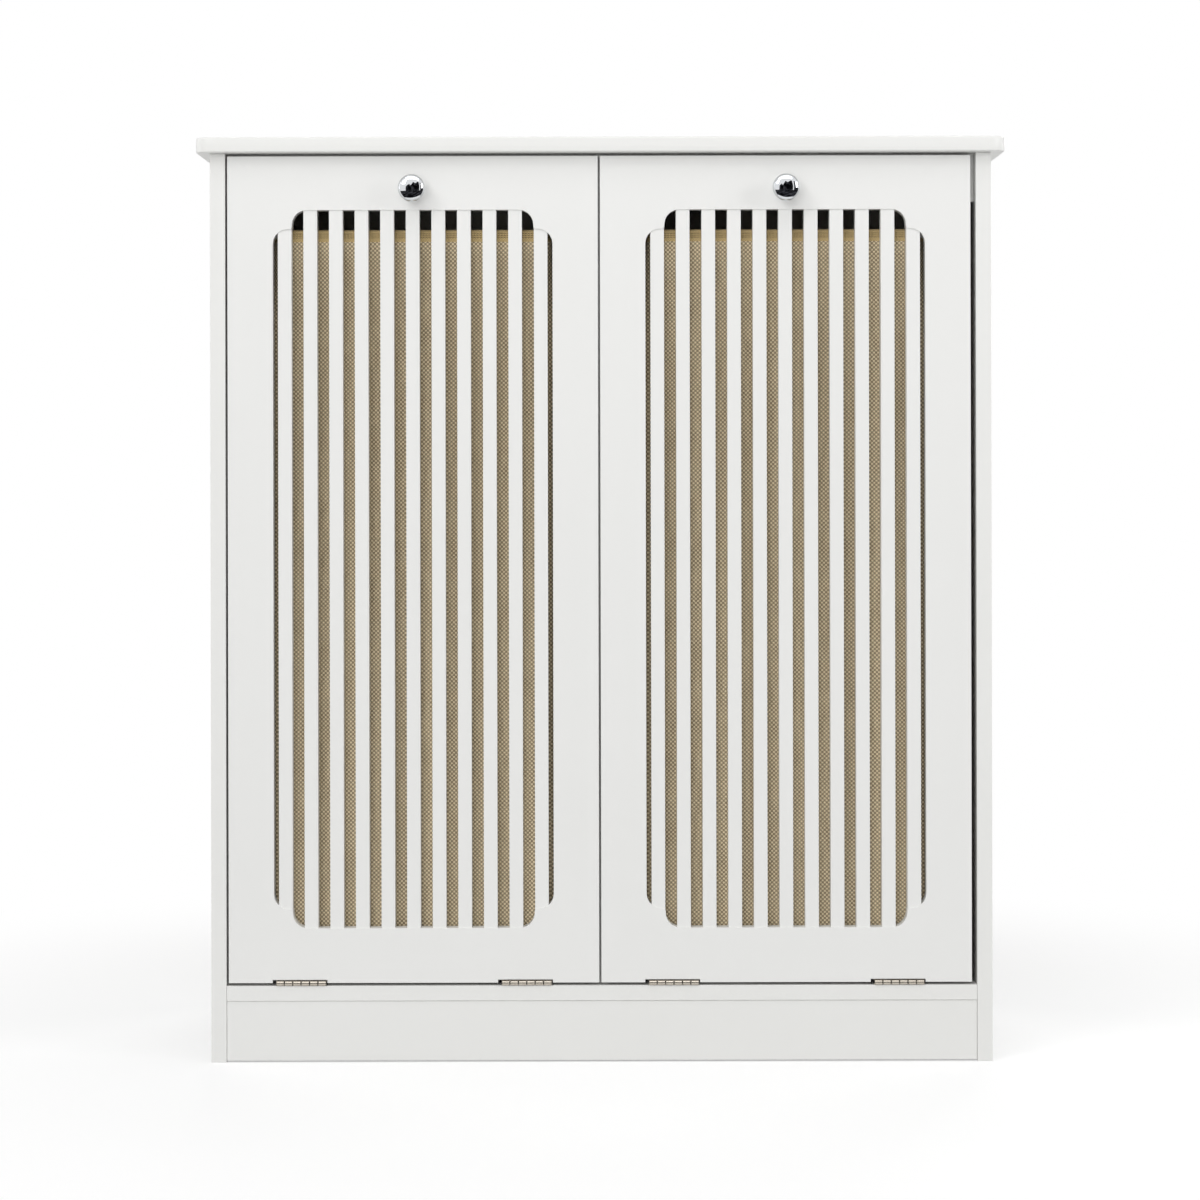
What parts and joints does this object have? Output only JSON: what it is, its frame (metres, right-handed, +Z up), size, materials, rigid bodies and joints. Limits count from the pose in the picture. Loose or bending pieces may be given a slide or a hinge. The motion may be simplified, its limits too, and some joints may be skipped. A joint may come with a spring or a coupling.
{
  "type": "tilt-out laundry cabinet",
  "caption": "White two-bay laundry cabinet; slatted doors tilt forward on bottom hinges, each carrying a woven bag on a wire frame.",
  "frame": {"origin": "on the floor, in the middle of the whole footprint, knobs included", "axes": "+Z up, +X to the right as seen by someone facing the doors, the doors face -Y"},
  "size_m": [0.803, 0.363, 0.918],
  "materials": {
    "white_board": "fibreboard in a smooth satin white foil",
    "back_board": "thin hardboard with a matt white face",
    "beech": "raw fluted beech",
    "zinc_steel": "zinc-plated steel",
    "nickel": "satin nickel-plated steel",
    "chrome": "polished chrome plating",
    "white_steel": "white powder coat",
    "woven_bag": "coarse tan basket weave with a stitched hem"
  },
  "bodies": {
    "cabinet": {"top_board": "white_board", "bottom_board": "white_board", "centre_divider": "white_board", "front_plinth": "white_board", "rear_plinth": "white_board", "back_panel": "back_board", "left_side_panel": "white_board", "left_front_rail": "white_board", "left_door_magnet": "zinc_steel", "left_stay_stud": "zinc_steel", "left_bottom_screw_1": "zinc_steel", "left_bottom_screw_2": "zinc_steel", "left_top_dowel_1": "beech", "left_top_dowel_2": "beech", "right_side_panel": "white_board", "right_front_rail": "white_board", "right_door_magnet": "zinc_steel", "right_stay_stud": "zinc_steel", "right_bottom_screw_1": "zinc_steel", "right_bottom_screw_2": "zinc_steel", "right_top_dowel_1": "beech", "right_top_dowel_2": "beech", "left_base_hinge_leaf_1": "nickel", "left_base_hinge_leaf_2": "nickel", "left_hinge_pin_1": "nickel", "left_hinge_pin_2": "nickel", "right_base_hinge_leaf_1": "nickel", "right_base_hinge_leaf_2": "nickel", "right_hinge_pin_1": "nickel", "right_hinge_pin_2": "nickel"},
    "left_door": {"left_door_panel": "white_board", "left_knob": "chrome", "left_knob_screw": "zinc_steel", "left_strike_plate": "zinc_steel", "left_stay_bracket": "zinc_steel", "left_stay_rivet": "zinc_steel", "left_bag_carrier_1": "white_steel", "left_bag_carrier_2": "white_steel", "left_door_hinge_leaf_1": "nickel", "left_door_hinge_leaf_2": "nickel"},
    "right_door": {"right_door_panel": "white_board", "right_knob": "chrome", "right_knob_screw": "zinc_steel", "right_strike_plate": "zinc_steel", "right_stay_bracket": "zinc_steel", "right_stay_rivet": "zinc_steel", "right_bag_carrier_1": "white_steel", "right_bag_carrier_2": "white_steel", "right_door_hinge_leaf_1": "nickel", "right_door_hinge_leaf_2": "nickel"},
    "left_bag": {"left_bag_frame": "white_steel", "left_laundry_bag": "woven_bag"},
    "right_bag": {"right_bag_frame": "white_steel", "right_laundry_bag": "woven_bag"},
    "left_stay": {"left_stay_arm": "zinc_steel"},
    "right_stay": {"right_stay_arm": "zinc_steel"}
  },
  "joints": [
    {"name": "left_door_tilt", "type": "hinge", "parent": "cabinet", "child": "left_door", "pos_m": [-0.1867, -0.1565, 0.07855], "axis": [1, 0, 0], "range_deg": [0, 30]},
    {"name": "right_door_tilt", "type": "hinge", "parent": "cabinet", "child": "right_door", "pos_m": [0.1835, -0.1565, 0.07855], "axis": [1, 0, 0], "range_deg": [0, 30]},
    {"name": "left_stay_swing", "type": "hinge", "parent": "left_door", "child": "left_stay", "pos_m": [-0.367, -0.1285, 0.42743], "axis": [1, 0, 0], "range_deg": [-15, 0]},
    {"name": "right_stay_swing", "type": "hinge", "parent": "right_door", "child": "right_stay", "pos_m": [0.367, -0.1285, 0.42743], "axis": [1, 0, 0], "range_deg": [-15, 0]},
    {"name": "left_bag_lift", "type": "slide", "parent": "left_door", "child": "left_bag", "axis": [0, 0, 1], "range_m": [0, 0.02]},
    {"name": "right_bag_lift", "type": "slide", "parent": "right_door", "child": "right_bag", "axis": [0, 0, 1], "range_m": [0, 0.02]}
  ],
  "couplings": [
    {"joint": "left_stay_swing", "follows": "left_door_tilt", "ratio": -0.5},
    {"joint": "right_stay_swing", "follows": "right_door_tilt", "ratio": -0.5}
  ]
}
